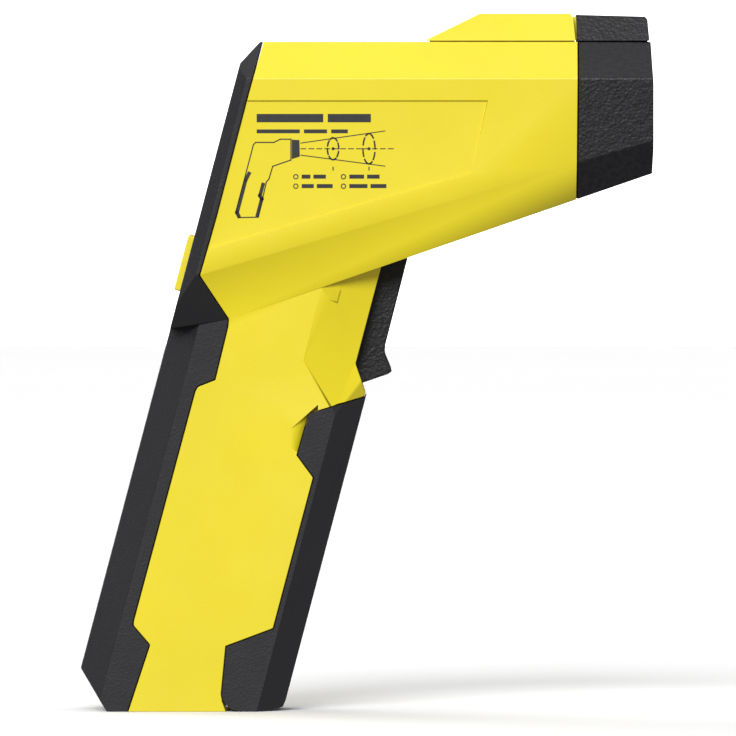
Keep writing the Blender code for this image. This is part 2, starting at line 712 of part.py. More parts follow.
def trigger_spring():
    turns, per_turn, radius = 6, 12, 2.0
    start, length = -38.2, 7.4
    points = []
    for i in range(turns * per_turn + 1):
        angle = 2.0 * math.pi * i / per_turn
        v = start + length * i / (turns * per_turn)
        points.append(grip_place(93.6 + radius * math.cos(angle), radius * math.sin(angle), v))
    finish(wire("trigger_spring", points, 0.28, straight=True), "steel")


# ---------------------------------------------------------------- battery and its door

BATTERY_U = (12.2, 58.7)
BATTERY_HALF = 13.25
BATTERY_V = (-45.7, -28.2)
TRAY_U = (10.2, 69.0)
TRAY_V = (-47.5, -29.4)
DOOR_PIN_RADIUS = 1.0
EAR_RADIUS = 2.2


def battery_tray():
    tray = grip_box("battery_tray", TRAY_U, (-15.0, 15.0), TRAY_V)
    inner = BATTERY_HALF + GAP
    cut(tray, grip_box("tray_inside", (BATTERY_U[0] - GAP, 90.0), (-inner, inner),
                       (BATTERY_V[0] - GAP, 0.0)))
    x, z = DOOR_PIVOT
    ear = [(x - EAR_RADIUS, 20.3), (x + EAR_RADIUS, 20.3)]
    ear += arc(DOOR_PIVOT, EAR_RADIUS, 0.0, -180.0, 7)
    for side in (-1.0, 1.0):
        low, high = sorted((side * 9.5, side * 12.5))
        join(tray, plate("ear", ear, low, high))
    cut(tray, rod("ear_hole", DOOR_PIN_RADIUS + GAP, (x, -14.0, z), (x, 14.0, z), SMALL_ROUND))
    finish(tray, "black_abs")
    pin = rod("door_hinge_pin", DOOR_PIN_RADIUS, (x, -16.2, z), (x, 16.2, z), SMALL_ROUND)
    finish(pin, "steel", smooth=True)


def battery():
    middle_v = (BATTERY_V[0] + BATTERY_V[1]) / 2.0
    cell = grip_box("battery", BATTERY_U, (-BATTERY_HALF, BATTERY_HALF), BATTERY_V)
    top = BATTERY_U[1]
    snap = grip_box("battery_snap", (top + GAP, top + 5.0), (-12.6, 12.6), (middle_v - 7.0, middle_v + 7.0))
    for side, radius in ((-1.0, 2.8), (1.0, 3.4)):
        y = side * 6.35
        join(cell, rod("terminal", radius, grip_place(top - 1.0, y, middle_v),
                       grip_place(top + 2.6, y, middle_v), 16))
        cut(snap, rod("socket", radius + GAP, grip_place(top - 1.0, y, middle_v),
                      grip_place(top + 3.0, y, middle_v), 16))
    finish(cell, "battery_wrap")
    finish(snap, "black_abs")


def leads():
    for name, y, colour in (("red_lead", 5.0, "red_wire"), ("black_lead", -5.0, "black_wire")):
        route = [
            grip_place(BATTERY_U[1] + 5.5, y, -37.0), grip_place(71.0, y, -38.0),
            grip_place(80.0, y * 0.8, -47.0), grip_place(86.0, y * 0.5, -58.0),
            grip_place(94.0, y * 0.4, -65.0), grip_place(98.0, y * 0.4, BOARD_V[1] + GAP + 0.1),
        ]
        finish(wire(name, route, 0.6), colour)


def sensor_ribbon():
    """Flat cable from the sensor board back to the main board, 0.4 thick."""
    half = 0.2
    back = grip_point(140.0, BOARD_V[1])[0] + 0.7
    low, high = 140.0, 152.0
    outline = [(back, high + half), (-5.0, low + half), (11.6, low + half + 9.0),
               (11.6, low - half + 8.6), (-5.0, low - half), (back, high - half)]
    finish(plate("sensor_ribbon", outline, -12.0, -4.0), "silicone")


def housing_screws():
    for index, ((x, z), _, seat_y) in enumerate(BOSSES):
        head_height = 1.9
        head = rod("housing_screw_" + str(index + 1), HEAD_RADIUS, (x, seat_y + GAP, z),
                   (x, seat_y + GAP + head_height, z), 16)
        join(head, rod("shank", SHANK_RADIUS, (x, GAP + 5.0 - seat_y, z), (x, seat_y + 1.0, z),
                       SMALL_ROUND))
        top = seat_y + GAP + head_height
        for half_x, half_z in ((1.2, 0.28), (0.28, 1.2)):
            cut(head, box("drive", (x - half_x, top - 0.9, z - half_z), (x + half_x, top + 1.0, z + half_z)))
        finish(head, "steel")


# ---------------------------------------------------------------- assembly

housing_half("housing_right", -1.0)
housing_half("housing_left", 1.0)
back_cover()
nose_cap()
laser_hood()
laser_cap()
laser_parts()
optics()
display()
main_board()
keys()
trigger()
switch()
trigger_spring()
battery_tray()
battery()
leads()
sensor_ribbon()
battery_door()
housing_screws()
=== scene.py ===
import math

import bmesh
import bpy
from mathutils import Matrix, Vector


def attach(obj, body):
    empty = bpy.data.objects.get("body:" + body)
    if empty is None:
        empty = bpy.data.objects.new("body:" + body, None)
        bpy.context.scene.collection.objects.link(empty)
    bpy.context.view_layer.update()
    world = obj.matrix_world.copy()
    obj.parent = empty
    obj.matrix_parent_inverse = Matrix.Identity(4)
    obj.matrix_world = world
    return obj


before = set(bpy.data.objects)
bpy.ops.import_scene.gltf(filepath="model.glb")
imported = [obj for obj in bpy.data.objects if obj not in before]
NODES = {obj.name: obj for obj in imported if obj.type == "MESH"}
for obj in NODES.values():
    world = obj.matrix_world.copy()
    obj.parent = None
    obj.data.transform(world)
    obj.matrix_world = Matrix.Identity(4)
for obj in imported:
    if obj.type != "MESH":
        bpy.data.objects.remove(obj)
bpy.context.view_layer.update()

MM = 0.001

# The grip's own frame, in millimetres: u runs up the leaning grip and v across it, back to front.
TILT = math.radians(14.8)
LCD_FACE = -73.8          # v of the glass that the digits lie on
KEY_FACE = -78.05         # v of the keys' outer faces
KEY_MIDDLE = 102.5        # u of the keys' middles
DISPLAY_MIDDLE = 132.5    # u of the display's middle
INK = 0.05                # thickness of print
BITE = 0.03               # depth that a thin piece is sunk into what it lies on
LABEL_DEPTH = 0.6         # depth of the label's recess in the right side


def head_side(x):
    """Half width of the head's side at x, in millimetres."""
    return 25.0 - 2.5 * (x + 44.0) / 119.8


def grip_place(u, y, v):
    return Vector((u * math.sin(TILT) + v * math.cos(TILT), y,
                   u * math.cos(TILT) - v * math.sin(TILT)))


# ---------------------------------------------------------------- materials

class Look:
    """A node material that is built up link by link round one Principled shader."""

    def __init__(self, name, colour, roughness, metallic=0.0, **fixed):
        self.material = bpy.data.materials.new(name)
        self.material.use_nodes = True
        self.tree = self.material.node_tree
        self.shader = self.tree.nodes["Principled BSDF"]
        self.shader.inputs["Base Color"].default_value = (*colour, 1.0)
        self.shader.inputs["Roughness"].default_value = roughness
        self.shader.inputs["Metallic"].default_value = metallic
        for socket, value in fixed.items():
            self.shader.inputs[socket.replace("_", " ")].default_value = value
        self.colour = colour
        self.roughness = roughness
        self.place = self.tree.nodes.new("ShaderNodeTexCoord").outputs["Object"]

    def link(self, out, into):
        self.tree.links.new(out, into)

    def noise(self, size_mm, detail=2.0, rough=0.5, squash=(1.0, 1.0, 1.0)):
        """Noise with features of about size_mm, stretched along an axis where squash is small."""
        node = self.tree.nodes.new("ShaderNodeTexNoise")
        node.inputs["Scale"].default_value = 1.0 / (size_mm * MM)
        node.inputs["Detail"].default_value = detail
        node.inputs["Roughness"].default_value = rough
        self.link(self.mapped(squash), node.inputs["Vector"])
        return node.outputs["Fac"]

    def cells(self, size_mm):
        """Pebbled cells, as a spark-eroded mould leaves them."""
        node = self.tree.nodes.new("ShaderNodeTexVoronoi")
        node.feature = "SMOOTH_F1"
        node.inputs["Scale"].default_value = 1.0 / (size_mm * MM)
        node.inputs["Smoothness"].default_value = 0.6
        self.link(self.place, node.inputs["Vector"])
        return node.outputs["Distance"]

    def mapped(self, squash):
        if squash == (1.0, 1.0, 1.0):
            return self.place
        node = self.tree.nodes.new("ShaderNodeMapping")
        node.inputs["Rotation"].default_value = (0.0, -TILT, 0.0)
        node.inputs["Scale"].default_value = squash
        self.link(self.place, node.inputs["Vector"])
        return node.outputs["Vector"]

    def ranged(self, value, low, high, from_low=0.3, from_high=0.7):
        node = self.tree.nodes.new("ShaderNodeMapRange")
        node.inputs["From Min"].default_value = from_low
        node.inputs["From Max"].default_value = from_high
        node.inputs["To Min"].default_value = low
        node.inputs["To Max"].default_value = high
        self.link(value, node.inputs["Value"])
        return node.outputs["Result"]

    def blended(self, value, first, second):
        """The colour that goes from first to second as value goes from 0 to 1."""
        node = self.tree.nodes.new("ShaderNodeMix")
        node.data_type = "RGBA"
        for socket, colour in (("A", first), ("B", second)):
            chosen = [item for item in node.inputs
                      if item.name == socket and item.type == "RGBA"][0]
            if isinstance(colour, bpy.types.NodeSocket):
                self.link(colour, chosen)
            else:
                chosen.default_value = (*colour, 1.0)
        self.link(value, node.inputs["Factor"])
        return [item for item in node.outputs if item.type == "RGBA"][0]

    def mottled(self, size_mm, amount, **noise):
        """Colour that drifts by amount either way, with features of size_mm."""
        drift = self.ranged(self.noise(size_mm, **noise), 0.0, 1.0)
        dark = [channel * (1.0 - amount) for channel in self.colour]
        light = [min(1.0, channel * (1.0 + amount)) for channel in self.colour]
        return self.blended(drift, dark, light)

    def paint(self, colour):
        self.link(colour, self.shader.inputs["Base Color"])

    def worn_and_sheen(self, colour, rub, amount):
        """Edges painted towards the colour rub, uneven along their length: rubbed wear, and on the
        soft-touch rubber also painted sheen.
        """
        geometry = self.tree.nodes.new("ShaderNodeNewGeometry")
        edge = self.ranged(geometry.outputs["Pointiness"], 0.0, amount, 0.53, 0.62)
        product = self.tree.nodes.new("ShaderNodeMath")
        product.operation = "MULTIPLY"
        self.link(edge, product.inputs[0])
        self.link(self.ranged(self.noise(6.0, 3.0), 0.3, 1.0), product.inputs[1])
        return self.blended(product.outputs["Value"], colour, rub)

    def polish(self, value, spread):
        """Roughness that drifts by spread either way."""
        self.link(self.ranged(value, self.roughness - spread, self.roughness + spread),
                  self.shader.inputs["Roughness"])

    def bumped(self, *layers):
        """Surface relief from (height, strength, depth in millimetres) layers."""
        normal = None
        for height, strength, depth in layers:
            node = self.tree.nodes.new("ShaderNodeBump")
            node.inputs["Strength"].default_value = strength
            node.inputs["Distance"].default_value = depth * MM
            self.link(height, node.inputs["Height"])
            if normal is not None:
                self.link(normal, node.inputs["Normal"])
            normal = node.outputs["Normal"]
        self.link(normal, self.shader.inputs["Normal"])


def moulded(name, colour, roughness, grain_mm, depth_mm, rub, wear, drift_mm=38.0, drift=0.035,
            shine=0.5):
    """Moulded plastic: pebbled grain, fine tooth, faint flow drift and softly rubbed edges."""
    look = Look(name, colour, roughness, IOR=1.5, Specular_IOR_Level=shine)
    look.paint(look.worn_and_sheen(look.mottled(drift_mm, drift, detail=3.0), rub, wear))
    look.polish(look.noise(drift_mm * 0.4, 4.0, 0.6), 0.05)
    look.bumped((look.cells(grain_mm), 0.7, depth_mm),
                (look.noise(grain_mm * 0.5, 2.0), 0.6, depth_mm))
    return look.material


def soft_touch():
    """Overmoulded rubber: matt, slightly powdery, with the edges that hands rub painted lighter,
    partly as rubbed wear and partly as painted sheen.
    """
    look = Look("soft_touch_rubber", (0.0095, 0.0095, 0.0125), 0.58, IOR=1.45, Sheen_Weight=0.06,
                Sheen_Roughness=0.5)
    # edges painted lighter: partly rubbed wear, partly painted sheen
    look.paint(look.worn_and_sheen(look.mottled(22.0, 0.10, detail=4.0, rough=0.6),
                         (0.024, 0.025, 0.029), 0.5))
    look.polish(look.noise(9.0, 5.0, 0.65), 0.07)
    look.bumped((look.cells(0.6), 0.6, 0.08), (look.noise(0.25, 2.0), 0.5, 0.05))
    return look.material


def glossy_window():
    look = Look("display_window_clear", (0.93, 0.95, 0.96), 0.04, IOR=1.49,
                Transmission_Weight=0.96)
    look.polish(look.noise(7.0, 3.0), 0.02)
    look.bumped((look.noise(5.0, 1.0), 0.02, 0.02))
    return look.material


def lcd_glass():
    look = Look("lcd_backing", (0.36, 0.41, 0.31), 0.3, IOR=1.5, Coat_Weight=0.3,
                Coat_Roughness=0.06)
    look.paint(look.mottled(16.0, 0.04))
    look.polish(look.noise(3.0, 2.0), 0.04)
    look.bumped((look.noise(0.12, 1.0), 0.12, 0.01))
    return look.material


def lens_glass():
    look = Look("ir_lens_coated", (0.075, 0.045, 0.105), 0.1, 0.75, IOR=1.5, Coat_Weight=1.0,
                Coat_Roughness=0.03, Coat_Tint=(0.75, 0.8, 1.0, 1.0))
    look.paint(look.mottled(9.0, 0.12))
    look.polish(look.noise(4.0, 3.0), 0.03)
    look.bumped((look.noise(0.25, 2.0), 0.05, 0.01))
    return look.material


def circuit_board():
    look = Look("circuit_board_green", (0.015, 0.13, 0.05), 0.4, Coat_Weight=0.4,
                Coat_Roughness=0.2)
    tracks = look.tree.nodes.new("ShaderNodeTexBrick")
    tracks.inputs["Scale"].default_value = 160.0
    tracks.inputs["Mortar Size"].default_value = 0.04
    look.link(look.mapped((1.0, 1.0, 1.001)), tracks.inputs["Vector"])
    look.paint(look.blended(tracks.outputs["Fac"], (0.012, 0.11, 0.04), (0.03, 0.22, 0.09)))
    look.polish(look.noise(2.0, 2.0), 0.08)
    look.bumped((tracks.outputs["Fac"], 0.3, 0.03), (look.noise(0.4, 2.0), 0.2, 0.02))
    return look.material


def metal(name, colour, roughness):
    """Turned or drawn metal with fine lines and a patchy polish."""
    look = Look(name, colour, roughness, 1.0)
    look.paint(look.mottled(2.5, 0.10, detail=3.0))
    look.polish(look.noise(1.2, 3.0), 0.08)
    look.bumped((look.noise(0.12, 2.0, squash=(1.0, 1.0, 0.12)), 0.25, 0.01))
    return look.material


def battery_wrap():
    """Printed metal jacket: dark below and copper above, with no lettering."""
    look = Look("battery_jacket", (0.02, 0.022, 0.03), 0.32, 0.55, Coat_Weight=0.5,
                Coat_Roughness=0.12)
    apart = look.tree.nodes.new("ShaderNodeSeparateXYZ")
    look.link(look.mapped((1.0, 1.0, 1.001)), apart.inputs["Vector"])
    band = look.ranged(apart.outputs["Z"], 0.0, 1.0, 0.0432, 0.0434)
    look.paint(look.blended(band, look.mottled(5.0, 0.2), (0.55, 0.25, 0.10)))
    look.polish(look.noise(3.0, 3.0), 0.06)
    look.bumped((look.noise(1.5, 2.0), 0.15, 0.02))
    return look.material


def coated_wire(name, colour):
    look = Look(name, colour, 0.42, IOR=1.5)
    look.paint(look.mottled(3.0, 0.08))
    look.polish(look.noise(1.5, 2.0), 0.08)
    look.bumped((look.noise(0.5, 2.0), 0.2, 0.02))
    return look.material


def ink(name, colour):
    """Pad-printed ink: thin, a little uneven, with a dull gloss."""
    look = Look(name, colour, 0.48, IOR=1.5)
    look.paint(look.mottled(1.6, 0.15, detail=4.0))
    look.polish(look.noise(0.8, 3.0), 0.08)
    look.bumped((look.noise(0.2, 2.0), 0.2, 0.01))
    return look.material


YELLOW = (0.81, 0.67, 0.014)
LOOKS = {
    "yellow_abs": moulded("yellow_moulding", YELLOW, 0.40, 0.42, 0.018, (0.93, 0.78, 0.12), 0.35),
    "black_tpe": soft_touch(),
    "black_abs": moulded("black_moulding", (0.0085, 0.0085, 0.0105), 0.42, 0.9, 0.13,
                         (0.03, 0.03, 0.034), 0.4, 1.3, 0.5, 0.32),
    "clear_window": glossy_window(),
    "lcd_glass": lcd_glass(),
    "circuit_board": circuit_board(),
    "silicone": moulded("keypad_silicone", (0.36, 0.37, 0.39), 0.62, 0.6, 0.02,
                        (0.45, 0.46, 0.48), 0.3),
    "ir_lens_glass": lens_glass(),
    "steel": metal("plated_steel", (0.56, 0.57, 0.59), 0.3),
    "brass": metal("turned_brass", (0.72, 0.52, 0.24), 0.28),
    "battery_wrap": battery_wrap(),
    "red_wire": coated_wire("red_insulation", (0.55, 0.02, 0.02)),
    "black_wire": coated_wire("black_insulation", (0.018, 0.018, 0.02)),
}
BLACK_INK = ink("label_ink", (0.018, 0.018, 0.02))
LCD_INK = ink("lcd_segments", (0.02, 0.025, 0.022))


# ---------------------------------------------------------------- carried-over mouldings

def node_group(name):
    group = bpy.data.node_groups.new(name, "GeometryNodeTree")
    group.interface.new_socket("Geometry", in_out="INPUT", socket_type="NodeSocketGeometry")
    group.interface.new_socket("Geometry", in_out="OUTPUT", socket_type="NodeSocketGeometry")
    return group, group.nodes.new("NodeGroupInput"), group.nodes.new("NodeGroupOutput")


def weighted_edges(name, kept_sharp):
    """Marks creases for a wide round, sharp edges for a narrow one and inner edges for none.

    kept_sharp lists (x, y, z, radius) in millimetres, round which no edge is touched. The places
    are compared without their signs, so each also counts on the other side of x = 0 and y = 0.
    """
    group, start, end = node_group(name)
    make = group.nodes.new
    link = group.links.new
    angle = make("GeometryNodeInputMeshEdgeAngle").outputs["Unsigned Angle"]

    def compare(value, limit):
        node = make("FunctionNodeCompare")
        node.data_type = "FLOAT"
        node.operation = "GREATER_THAN"
        node.inputs["B"].default_value = limit
        link(value, node.inputs["A"])
        return node.outputs["Result"]

    def chosen(test, if_false, if_true):
        node = make("GeometryNodeSwitch")
        node.input_type = "FLOAT"
        link(test, node.inputs["Switch"])
        for socket, value in (("False", if_false), ("True", if_true)):
            if isinstance(value, float):
                node.inputs[socket].default_value = value
            else:
                link(value, node.inputs[socket])
        return node.outputs["Output"]

    narrow = chosen(compare(angle, math.radians(SHARP_FROM)), 1.0, SHARP_SHARE)
    weight = chosen(compare(angle, math.radians(CREASE_FROM)), 0.0, narrow)
    either_side = make("ShaderNodeVectorMath")
    either_side.operation = "ABSOLUTE"
    link(make("GeometryNodeInputPosition").outputs["Position"], either_side.inputs[0])
    for x, y, z, radius in kept_sharp:
        apart = make("ShaderNodeVectorMath")
        apart.operation = "DISTANCE"
        apart.inputs[1].default_value = (abs(x) * MM, y * MM, z * MM)
        link(either_side.outputs["Vector"], apart.inputs[0])
        weight = chosen(compare(apart.outputs["Value"], radius * MM), 0.0, weight)
    outwards = make("GeometryNodeInputNormal").outputs["Normal"]
    lifted = make("ShaderNodeVectorMath")
    lifted.operation = "MULTIPLY_ADD"
    lifted.inputs[1].default_value = (RAY_LIFT * MM, RAY_LIFT * MM, RAY_LIFT * MM)
    link(outwards, lifted.inputs[0])
    link(make("GeometryNodeInputPosition").outputs["Position"], lifted.inputs[2])
    ray = make("GeometryNodeRaycast")
    ray.inputs["Ray Length"].default_value = RAY_LENGTH * MM
    link(start.outputs["Geometry"], ray.inputs["Target Geometry"])
    link(lifted.outputs["Vector"], ray.inputs["Source Position"])
    link(outwards, ray.inputs["Ray Direction"])
    weight = chosen(ray.outputs["Is Hit"], weight, 0.0)
    store = make("GeometryNodeStoreNamedAttribute")
    store.data_type = "FLOAT"
    store.domain = "EDGE"
    store.inputs["Name"].default_value = "bevel_weight_edge"
    link(start.outputs["Geometry"], store.inputs["Geometry"])
    link(weight, store.inputs["Value"])
    link(store.outputs["Geometry"], end.inputs["Geometry"])
    return group


def smooth_faces():
    group, start, end = node_group("smooth_faces")
    smooth = group.nodes.new("GeometryNodeSetShadeSmooth")
    group.links.new(start.outputs["Geometry"], smooth.inputs["Geometry"])
    group.links.new(smooth.outputs["Geometry"], end.inputs["Geometry"])
    return group


CREASE_FROM = 24.0        # degrees between faces from which an edge is rounded at all
SHARP_FROM = 62.0         # degrees from which it gets the narrow round
SHARP_SHARE = 0.45        # narrow round over wide round
RAY_LIFT = 0.05           # mm off the surface from which an edge looks for its own piece
RAY_LENGTH = 60.0         # mm it looks along
# Side-view places (x, z) of the housing screws.
SCREWS = [(8.0, 134.0), (44.0, 139.4), (6.0, 165.0),
          (-34.98, 86.82), (-48.98, 33.6), (-20.54, 103.88)]
# Thumb scoop, trigger bevel, label corner and rear seam, then the screws.
HOUSING_SHARP = [(-15.5, 16.0, 76.5, 9.5), (-8.0, 15.9, 111.3, 4.0), (9.4, 17.7, 119.9, 2.6)]
HOUSING_SHARP += [(-24.3, 17.6, 108.3, 2.0)]
HOUSING_SHARP += [(x, 22.0 if z > 110.0 else 16.0, z, 5.5) for x, z in SCREWS]
EDGE_GROUPS = {
    "housing": weighted_edges("housing_edges", HOUSING_SHARP),
    "any": weighted_edges("plain_edges", []),
}
SMOOTH_GROUP = smooth_faces()


def soften(piece, width_mm, merge_mm):
    """Rounds a piece's edges with real geometry, without touching its own mesh."""
    weld = piece.modifiers.new("merge", "WELD")
    weld.merge_threshold = merge_mm * MM
    flat = piece.modifiers.new("flat_faces", "DECIMATE")
    flat.decimate_type = "DISSOLVE"
    flat.angle_limit = math.radians(0.6)
    mark = piece.modifiers.new("mark_edges", "NODES")
    mark.node_group = EDGE_GROUPS["housing" if piece.name.startswith("housing_") else "any"]
    bevel = piece.modifiers.new("round_edges", "BEVEL")
    bevel.limit_method = "WEIGHT"
    bevel.width = width_mm * MM
    bevel.segments = 3
    bevel.use_clamp_overlap = False
    bevel.miter_outer = "MITER_SHARP"
    smooth = piece.modifiers.new("smooth", "NODES")
    smooth.node_group = SMOOTH_GROUP
    normals = piece.modifiers.new("normals", "WEIGHTED_NORMAL")
    normals.weight = 100
    normals.keep_sharp = True


ROUNDING = {
    "housing_right": 0.42, "housing_left": 0.42, "rear_cover": 0.3, "battery_door": 0.16,
    "nose_cap": 0.5, "laser_hood": 0.2, "laser_cap": 0.3, "trigger": 0.8,
    "key_left": 1.1, "key_centre": 1.1, "key_right": 1.1,
}
SMALL_ROUNDING = 0.25

for name, node in NODES.items():
    slot_name = node.material_slots[0].material.name
    node.material_slots[0].material = LOOKS[slot_name]
    soften(node, ROUNDING.get(name, SMALL_ROUNDING), 0.05 if name in ROUNDING else 0.005)


# ---------------------------------------------------------------- makers for added pieces

def piece_from(name, bm, material, body):
    """Files a mesh in millimetres as a piece that rides on a body."""
    bmesh.ops.scale(bm, vec=(MM, MM, MM), verts=bm.verts[:])
    bmesh.ops.recalc_face_normals(bm, faces=bm.faces[:])
    mesh = bpy.data.meshes.new(name)
    bm.to_mesh(mesh)
    bm.free()
    mesh.materials.append(material)
    piece = bpy.data.objects.new(name, mesh)
    bpy.context.scene.collection.objects.link(piece)
    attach(piece, body)
    return piece


def slab(bm, outline, under, over):
    """Adds a flat outline of (a, b) points as a closed slab between two placing functions."""
    low = [bm.verts.new(under(a, b)) for a, b in outline]
    high = [bm.verts.new(over(a, b)) for a, b in outline]
    bm.faces.new(low[::-1])
    bm.faces.new(high)
    for i in range(len(outline)):
        j = (i + 1) % len(outline)
        bm.faces.new((low[i], low[j], high[j], high[i]))


def on_label(depth):
    """Places (x, z) on the right side's recessed panel, raised by depth."""
    def place(x, z):
        return (x, -(head_side(x) - LABEL_DEPTH) - depth, z)
    return place


def on_back(face, depth):
    """Places (right, up) as seen from behind on the plane v = face, raised by depth."""
    def place(right, up):
        return grip_place(up, -right, face - depth)
    return place


def bar(x0, z0, x1, z1):
    return [(x0, z0), (x1, z0), (x1, z1), (x0, z1)]


def stroke(a, b, width):
    """Outline of a straight line from a to b."""
    a, b = Vector(a), Vector(b)
    along = (b - a).normalized() * width / 2.0
    side = Vector((-along.y, along.x))
    a, b = a - along, b + along
    return [tuple(a - side), tuple(b - side), tuple(b + side), tuple(a + side)]


def dashes(a, b, width, dash, space):
    a, b = Vector(a), Vector(b)
    length = (b - a).length
    along = (b - a) / length
    made = []
    done = 0.0
    while done < length:
        stop = min(done + dash, length)
        made.append(stroke(a + along * done, a + along * stop, width))
        done += dash + space
    return made


def ring_dashes(centre, half_x, half_z, width, count, share):
    """Short strokes round an ellipse; share is how much of it they fill."""
    made = []
    for i in range(count):
        turns = [2.0 * math.pi * (i + part * share) / count for part in (0.0, 0.5, 1.0)]
        points = [(centre[0] + half_x * math.cos(t), centre[1] + half_z * math.sin(t))
                  for t in turns]
        made += [stroke(points[0], points[1], width), stroke(points[1], points[2], width)]
    return made


def ring(centre, radius, width, sides=16):
    """A ring as separate quads, so that no outline has a hole."""
    made = []
    for i in range(sides):
        corners = []
        for r, k in ((radius, i), (radius + width, i), (radius + width, i + 1), (radius, i + 1)):
            turn = 2.0 * math.pi * k / sides
            corners.append((centre[0] + r * math.cos(turn), centre[1] + r * math.sin(turn)))
        made.append(corners)
    return made


def disc(centre, radius, sides=16):
    return [(centre[0] + radius * math.cos(2.0 * math.pi * i / sides),
             centre[1] + radius * math.sin(2.0 * math.pi * i / sides)) for i in range(sides)]


def across(y):
    """Places (x, z) on the side-view plane at y."""
    def place(x, z):
        return (x, y, z)
    return place


def lips(name, line, width, y_range, material, body):
    """A moulded lip behind a seam on both sides, so that no light shows through the gap."""
    bm = bmesh.new()
    for side in (-1.0, 1.0):
        low, high = sorted(side * y for y in y_range)
        ribbon(bm, line, width, across(low), across(high))
    return piece_from(name, bm, material, body)


def ribbon(bm, line, width, under, over):
    """A closed strip of even width along a line of (a, b) points."""
    rims = []
    for i, point in enumerate(line):
        before, after = Vector(line[max(i - 1, 0)]), Vector(line[min(i + 1, len(line) - 1)])
        here = Vector(point)
        first = (here - before).normalized() if i else (after - here).normalized()
        second = (after - here).normalized() if i < len(line) - 1 else first
        normal = Vector((-first.y - second.y, first.x + second.x)) / (1.0 + first.dot(second))
        rims.append((here - normal * width / 2.0, here + normal * width / 2.0))
    rings = [[bm.verts.new(place(*point)) for place, point in
              ((under, left), (under, right), (over, right), (over, left))] for left, right in rims]
    for near, far in zip(rings, rings[1:]):
        for i in range(4):
            j = (i + 1) % 4
            bm.faces.new((near[i], near[j], far[j], far[i]))
    bm.faces.new(rings[0][::-1])
    bm.faces.new(rings[-1])


# ---------------------------------------------------------------- lips and gaskets behind the seams

# These pieces are not in the CAD. They hide the 0.3 mm gaps, which would let light through, and
# door_top_lip also hides a notch in the housings at the lower corner of the scoop.
GRIP_LIP_Y = (14.1, 15.2)     # from the middle plane, just inside the grip's side walls
SCOOP_LIP_Y = (13.6, 14.6)    # just inside the scoop's floor
HEAD_TOP = 177.85             # z of the middle of the gap over the head
JOINT = 55.2                  # x of the middle of the gap from laser_hood to laser_cap
REAR_LIP = [(-63.4, 0.6), (-60.5, 9.3), (-57.6, 17.7), (-62.0, 22.8), (-61.9, 24.1), (-45.6, 84.9),
            (-44.9, 86.2), (-40.3, 88.0), (-36.9, 102.0)]
DOOR_LIP = [(-36.9, 1.9), (-38.1, 4.3), (-38.1, 6.5), (-37.2, 17.6), (-33.0, 19.0)]
DOOR_TOP_LIP = [(-17.4, 73.5), (-15.6, 78.6), (-12.5, 81.2), (-8.0, 82.6)]
HOOD_GASKET = [(16.6, HEAD_TOP), (54.9, HEAD_TOP)]
CAP_GASKET = [(55.6, HEAD_TOP), (74.4, HEAD_TOP)]
JOINT_GASKET = [(JOINT, 178.0), (JOINT, 184.2)]


def seam_lip(name, line, width, y_range, body, slot):
    lips(name, line, width, y_range, LOOKS[slot], body)


seam_lip("rear_cover_lip", REAR_LIP, 2.2, GRIP_LIP_Y, "root", "black_tpe")
seam_lip("battery_door_lip", DOOR_LIP, 1.6, GRIP_LIP_Y, "battery_door", "black_tpe")
seam_lip("door_top_lip", DOOR_TOP_LIP, 2.6, SCOOP_LIP_Y, "root", "yellow_abs")
seam_lip("laser_hood_gasket", HOOD_GASKET, 0.8, (5.0, 9.0), "root", "yellow_abs")
seam_lip("laser_joint_gasket", JOINT_GASKET, 1.0, (2.0, 5.0), "root", "yellow_abs")
seam_lip("laser_cap_gasket", CAP_GASKET, 0.8, (5.0, 8.8), "root", "black_abs")


# ---------------------------------------------------------------- printed label

def label_outlines():
    """A generic diagram of aim and distance, with plain bars where words would be."""
    fine, bold = 0.30, 0.42
    shapes = [bar(-29.2, 156.2, -11.6, 158.4), bar(-10.4, 156.2, 1.0, 158.4),
              bar(-29.2, 153.3, -17.8, 154.3), bar(-16.7, 153.3, -10.6, 154.3),
              bar(-9.5, 153.3, -5.1, 154.3)]
    # the small instrument: the real side view at about a ninth of its size
    size, x0, z0 = 0.112, -26.3, 131.0
    side_view = [(-69, 0), (-75.8, 11), (-33.6, 171.8), (-28.4, 177.5), (14.6, 177.5), (29.9, 185),
                 (55, 185), (55, 136), (12, 121), (3, 91), (-3, 84), (-22, 1)]
    small = [(x0 + size * x, z0 + size * z) for x, z in side_view]
    for i in range(len(small)):
        shapes.append(stroke(small[i], small[(i + 1) % len(small)], fine))
    shapes.append([(x0 + size * x, z0 + size * z)
                   for x, z in ((57, 184), (75, 183), (76, 144), (57, 138))])
    grip_back = [((-68, 3), (-72, 12)), ((-72, 12), (-52, 88)), ((-52, 88), (-44, 104))]
    grip_front = [((-24, 6), (-14, 44)), ((-14, 44), (-18, 52)), ((-18, 52), (-11, 78))]
    for line in grip_back + grip_front:
        a, b = [(x0 + size * x, z0 + size * z) for x, z in line]
        shapes.append(stroke(a, b, 0.95))
    # the measuring cone with its axis and two spots
    nose = -17.5
    for start, end in (((nose, 150.7), (4.7, 153.9)), ((nose, 147.5), (4.7, 144.6))):
        shapes.append(stroke(start, end, 0.24))
    shapes += dashes((nose, 149.2), (7.4, 149.2), 0.24, 1.3, 0.8)
    for x, half_x, half_z in ((-9.0, 1.5, 2.9), (0.5, 1.6, 4.0)):
        shapes += ring_dashes((x, 149.2), half_x, half_z, bold, 8, 0.66)
        shapes.append(disc((x, 149.2), 0.42))
        shapes.append(stroke((x, 144.3), (x, 143.6), fine))
    # two rows of plain marks under each spot
    for left, lengths in ((-19.6, (2.6, 3.6)), (-7.0, (4.2, 3.6))):
        for row, z in enumerate((141.2, 138.7)):
            shapes += ring((left + 0.75, z + 0.6), 0.45, 0.28, 10)
            x = left + 2.3
            for length in lengths:
                grown = length + (0.9 if row else 0.0) - 0.3
                shapes.append(bar(x, z + 0.1, x + grown, z + 1.15))
                x += grown + 0.8
    return shapes


